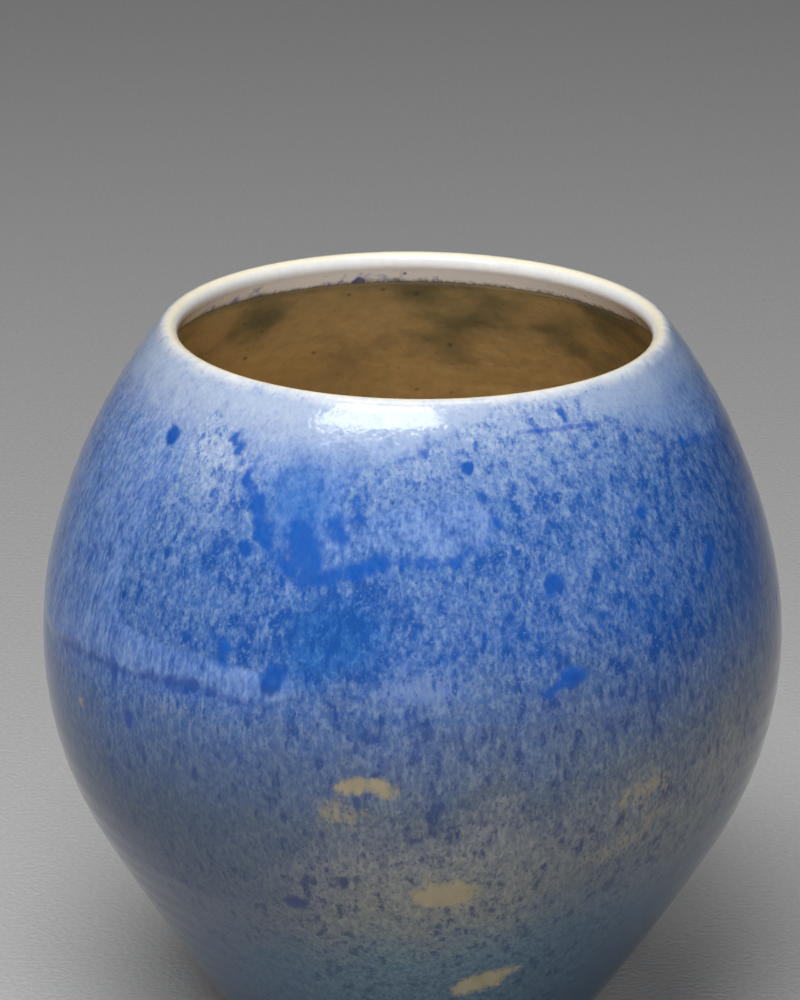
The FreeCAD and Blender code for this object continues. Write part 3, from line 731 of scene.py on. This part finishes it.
def finish_lift(way):
    """How high the melted coats stand over the clay: both on the wall, and the cream alone over the lip."""
    return OUTER_COATS + (CREAM_COAT - OUTER_COATS) * smooth_step(way, way_outside(THINNING_FROM), lip_way)


fine_way = way_outside(FINE_ROWS_FROM)
wall_stations = np.linspace(way_outside(cream_foot), fine_way, CREAM_WALL_ROWS, endpoint=False)
lip_stations = np.linspace(fine_way, way_inside(throat_height), CREAM_LIP_ROWS)
cream_stations = np.hstack([wall_stations, lip_stations])[:, None]
shell_azimuth = azimuths(SHELL_COLUMNS)[None, :]
cream_ends = smooth_step(cream_stations, way_outside(cream_foot), way_outside(cream_foot) + CREAM_TOE)
cream_rise = smooth_step(cream_stations, way_outside(FLUSH_FROM), way_outside(FLUSH_BY))
cream_lift = CREAM_COAT + (finish_lift(cream_stations) - JUST_UNDER - CREAM_COAT) * cream_rise
cream_top = raised(cream_stations, shell_azimuth, BURIED + (cream_lift - BURIED) * cream_ends)
cream_under_stations = cream_stations[::CREAM_UNDER_STRIDE][::-1]
cream_grid = np.vstack([cream_top, raised(cream_under_stations, shell_azimuth, BURIED)])
cream = piece_from_grid("cream_coat", cream_grid, closed=True)
carry_marks(cream, shell_azimuth, np.vstack([cream_stations, cream_under_stations]))
cream.data.materials.append(fired_material("cream_glaze"))
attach(cream, "root")
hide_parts("cream_glaze")

# ---------------------------------------------------------------------------------------------------
# The blue coat, sprayed and spattered over the cream one. It melts into the cream under the lip, and
# it dips where it was knocked thin, so the cream shows there.
# ---------------------------------------------------------------------------------------------------
BLUE_ROWS = 168
BLUE_TOE = 0.0012
BLUE_HIDDEN = 0.00005
BLUE_UNDER = 0.00012
BLUE_UNDER_STRIDE = 5
BARE_DIP = 0.00028
BARE_FROM = 0.0035
BARE_BY = -0.0015
MELTED_AWAY = 0.00004
MELTING_FROM = 0.220
MELTING_BY = 0.228
CRISP = 0.85
blue_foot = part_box("blue_glaze")[0][2]
blue_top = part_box("blue_glaze")[1][2]


def bareness(azimuth, way):
    """1 in the middle of the crisper bare spots and 0 away from them, by a wide soft slope."""
    crisp = [outline for strength, softness, outline in BARE_SPOTS if strength > CRISP]
    gaps = [line_distance(azimuth, way, outline, closed=True) for outline in crisp]
    return smooth_step(np.min(gaps, axis=0), BARE_FROM, BARE_BY)


def blue_lift(azimuth, way):
    """How high the blue coat's surface stands over the clay."""
    foot = smooth_step(way, way_outside(blue_foot), way_outside(blue_foot) + BLUE_TOE)
    hidden = CREAM_COAT - BLUE_HIDDEN
    coat = hidden + (finish_lift(way) - hidden) * foot
    melted = MELTED_AWAY * smooth_step(way, way_outside(MELTING_FROM), way_outside(MELTING_BY))
    return coat - melted - BARE_DIP * bareness(azimuth, way)


blue_stations = np.linspace(way_outside(blue_foot), way_outside(blue_top), BLUE_ROWS)[:, None]
blue_outer = raised(blue_stations, shell_azimuth, blue_lift(shell_azimuth, blue_stations))
blue_under_stations = blue_stations[::BLUE_UNDER_STRIDE][::-1]
blue_under = raised(blue_under_stations, shell_azimuth, CREAM_COAT - BLUE_UNDER)
blue = piece_from_grid("blue_coat", np.vstack([blue_outer, blue_under]), closed=True)
carry_marks(blue, shell_azimuth, np.vstack([blue_stations, blue_under_stations]))
blue.data.materials.append(fired_material("blue_glaze"))
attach(blue, "root")
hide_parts("blue_glaze")

# ---------------------------------------------------------------------------------------------------
# The second pour. It was run over the lip and down the shoulder in tongues that stand a little proud
# of the blue, with a thicker roll along the edge of the ones that ran lowest.
# ---------------------------------------------------------------------------------------------------
POUR_COAT = 0.0004
POUR_COLUMNS = 560
POUR_ROWS = 86
POUR_LOWEST = 0.137
POUR_UNDER = 0.0003
POUR_FROM = 0.222
POUR_FULL_BY = 0.190
FULL_DEPTH = 0.006
MELTED_IN = 0.0024
SUNK = 0.00004
ROLL = 0.00018
ROLL_INSET = 0.0026
ROLL_WIDTH = 0.0018
ROLL_FROM = 0.164
ROLL_BY = 0.156


def pour_lift(azimuth, way):
    """How high a tongue stands over the blue coat; less than 0 where it is melted in beyond its edge."""
    depth = pour_depth(azimuth, way)
    swell = smooth_step(depth, -MELTED_IN / 2, FULL_DEPTH)
    low = smooth_step(way, way_outside(ROLL_FROM), way_outside(ROLL_BY))
    roll = np.exp(-((depth - ROLL_INSET) / ROLL_WIDTH) ** 2) * low
    below_lip = smooth_step(way, way_outside(POUR_FROM), way_outside(POUR_FULL_BY))
    return (POUR_COAT * swell + ROLL * roll) * below_lip - SUNK


pour_stations = np.linspace(way_outside(POUR_LOWEST), way_outside(blue_top), POUR_ROWS)[:, None]
pour_azimuth = azimuths(POUR_COLUMNS)[None, :]
wet = pour_depth(pour_azimuth, pour_stations) > -MELTED_IN
base = blue_lift(pour_azimuth, pour_stations)
top_grid = raised(pour_stations, pour_azimuth, base + pour_lift(pour_azimuth, pour_stations))
under_grid = raised(pour_stations, pour_azimuth, base - POUR_UNDER)
# The cells of the wall that a tongue wets, closed by skirts wherever a wet cell meets a dry one.
corner = np.arange(POUR_ROWS * POUR_COLUMNS).reshape(POUR_ROWS, POUR_COLUMNS)
beside = np.roll(corner, -1, axis=1)
cells = np.stack([corner[:-1], beside[:-1], beside[1:], corner[1:]], axis=-1)
covered = wet.ravel()[cells].any(axis=-1)
tops = cells[covered]
unders = tops[:, ::-1] + POUR_ROWS * POUR_COLUMNS
edges = np.stack([tops, np.roll(tops, -1, axis=1)], axis=-1).reshape(-1, 2)
met = set(map(tuple, edges.tolist()))
rims = np.array([(a, b) for a, b in edges.tolist() if (b, a) not in met])
skirts = np.stack([rims[:, 1], rims[:, 0], rims[:, 0] + corner.size, rims[:, 1] + corner.size], axis=1)
faces = np.vstack([tops, unders, skirts])
used, faces = np.unique(faces, return_inverse=True)
faces = faces.reshape(-1, 4)
places = np.vstack([top_grid.reshape(-1, 3), under_grid.reshape(-1, 3)])[used]
pour = piece_from_faces("second_pour_tongues", places, faces.tolist())
turns, ways = (given.ravel() for given in np.broadcast_arrays(pour_azimuth, pour_stations))
carry_marks(pour, np.tile(turns, 2)[used], np.tile(ways, 2)[used])
pour.data.materials.append(fired_material("cobalt_wash"))
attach(pour, "root")
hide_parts("second_pour")

# ---------------------------------------------------------------------------------------------------
# The cobalt drops. Thick drops of the colour fell on the wet glaze and set as low round beads, sunk
# at their edges.
# ---------------------------------------------------------------------------------------------------
DROP_RISE = 0.00005
DROP_UNDER = 0.00025
DROP_RINGS = 9
DROP_SIDES = 28
drop_places, drop_faces, drop_turns, drop_ways = [], [], [], []
ring, side = np.meshgrid(np.arange(DROP_RINGS), np.arange(DROP_SIDES), indexing="ij")
reach = (ring + 1) / DROP_RINGS
for turn, height, width, rise in DROPS:
    middle_way = way_outside(height / 1000)
    round_it = reach * np.cos(math.tau * side / DROP_SIDES) * width / 1000
    along_it = reach * np.sin(math.tau * side / DROP_SIDES) * rise / 1000
    way = np.append((middle_way + along_it).ravel(), middle_way)
    azimuth = math.radians(turn) + np.append(round_it.ravel(), 0) / on_line(way)[0]
    share = np.append(reach.ravel(), 0)
    surface = blue_lift(azimuth, way) + np.clip(pour_lift(azimuth, way), 0, None)
    bead = DROP_RISE * width * (1 - share ** 2) ** 0.8 - SUNK
    first = sum(len(block) for block in drop_places)
    drop_places += [raised(way, azimuth, surface + bead), raised(way, azimuth, surface - DROP_UNDER)]
    drop_turns += [azimuth, azimuth]
    drop_ways += [way, way]
    count = len(way)
    here = np.arange(count - 1).reshape(DROP_RINGS, DROP_SIDES)
    near_side = np.roll(here, -1, axis=1)
    top_quads = np.stack([here[:-1], here[1:], near_side[1:], near_side[:-1]], axis=-1).reshape(-1, 4)
    drop_faces += (top_quads + first).tolist() + (top_quads[:, ::-1] + first + count).tolist()
    for a, b in zip(here[0], near_side[0]):
        drop_faces += [[first + count - 1, first + a, first + b]]
        drop_faces += [[first + 2 * count - 1, first + count + b, first + count + a]]
    for a, b in zip(here[-1], near_side[-1]):
        drop_faces += [[first + b, first + a, first + count + a, first + count + b]]
drops = piece_from_faces("cobalt_beads", np.vstack(drop_places), drop_faces)
carry_marks(drops, np.hstack(drop_turns), np.hstack(drop_ways))
drops.data.materials.append(fired_material("cobalt"))
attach(drops, "root")
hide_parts("cobalt_drops")

# ---------------------------------------------------------------------------------------------------
# The floor under the vase, the lights and the camera.
# ---------------------------------------------------------------------------------------------------
FLOOR_SIZE = 8.0
floor_mesh = bpy.data.meshes.new("floor")
half = FLOOR_SIZE / 2
corners = [(-half, -half, 0), (half, -half, 0), (half, half, 0), (-half, half, 0)]
floor_mesh.from_pydata(corners, [], [(0, 1, 2, 3)])
floor = bpy.data.objects.new("floor", floor_mesh)
bpy.context.scene.collection.objects.link(floor)
material, shader, place = new_material("pale_floor")
shade = place.grain(0.002, detail=2)
colour = (shade * 0.5 + 0.5).ramp((0.0, (0.40, 0.40, 0.40)), (1.0, (0.45, 0.45, 0.45)))
dress(shader, colour, 0.7 + shade * 0.02, shade, 0.0001)
floor_mesh.materials.append(material)

world = bpy.data.worlds.new("studio")
world.use_nodes = True
sky = world.node_tree.nodes["Background"]
look = Tint(world.node_tree, world.node_tree.nodes.new("ShaderNodeTexCoord").outputs["Generated"])
glow = (look.part(1) * 0.5 + 0.5).ramp((0.10, (0.22, 0.22, 0.225)), (0.50, (0.09, 0.09, 0.095)))
world.node_tree.links.new(glow.socket, sky.inputs["Color"])
bpy.context.scene.world = world
bpy.context.scene.view_settings.view_transform = "Standard"


def soft_light(name, place, aim, width, depth, watts):
    lamp = bpy.data.lights.new(name, "AREA")
    lamp.shape = "ELLIPSE"
    lamp.size = width
    lamp.size_y = depth
    lamp.energy = watts
    made = bpy.data.objects.new(name, lamp)
    made.location = place
    made.rotation_euler = (Vector(aim) - Vector(place)).to_track_quat("-Z", "Y").to_euler()
    bpy.context.scene.collection.objects.link(made)
    return made


def at(azimuth, elevation, distance, centre=(0, 0, 0.2)):
    """A place seen from a centre at an azimuth from the front and an elevation, in degrees."""
    a, e = math.radians(azimuth), math.radians(elevation)
    away = Vector((math.sin(a) * math.cos(e), -math.cos(a) * math.cos(e), math.sin(e)))
    return tuple(Vector(centre) + away * distance)


# The key and the fill light the vase but aren't mirrored in it. The strip is only mirrored: it gives
# the long soft highlight under the lip.
STRIP_ROLL = 12
key = soft_light("key", at(-23, 62, 1.5), (0, 0, 0.15), 1.3, 0.62, 23)
key.visible_glossy = False
strip = soft_light("strip", at(-20, 55, 1.5), (0, 0, 0.2), 1.15, 0.32, 8.5)
strip.rotation_euler.rotate_axis("Z", math.radians(STRIP_ROLL))
strip.visible_diffuse = False
fill = soft_light("fill", at(4, 14, 2.2), (0, 0, 0.2), 1.2, 0.8, 22)
fill.visible_glossy = False
soft_light("overhead", at(0, 88, 1.5), (0, 0, 0.15), 1.0, 1.0, 6)

VIEW_HEIGHT = 0.134
VIEW_DISTANCE = 1.350
VIEW_ELEVATION = 21.3
VIEW_ROLL = 0.5
LENS = 156.9
camera_data = bpy.data.cameras.new("camera")
camera_data.lens = LENS
camera_data.sensor_width = 36
camera_data.clip_end = 30
camera_data.shift_x = -0.0125
camera_data.shift_y = 0.1281
camera = bpy.data.objects.new("camera", camera_data)
camera.location = at(0, VIEW_ELEVATION, VIEW_DISTANCE, (0, 0, VIEW_HEIGHT))
facing = (Vector((0, 0, VIEW_HEIGHT)) - camera.location).to_track_quat("-Z", "Y")
camera.rotation_euler = (facing @ Quaternion((0, 0, 1), math.radians(VIEW_ROLL))).to_euler()
bpy.context.scene.collection.objects.link(camera)
bpy.context.scene.camera = camera
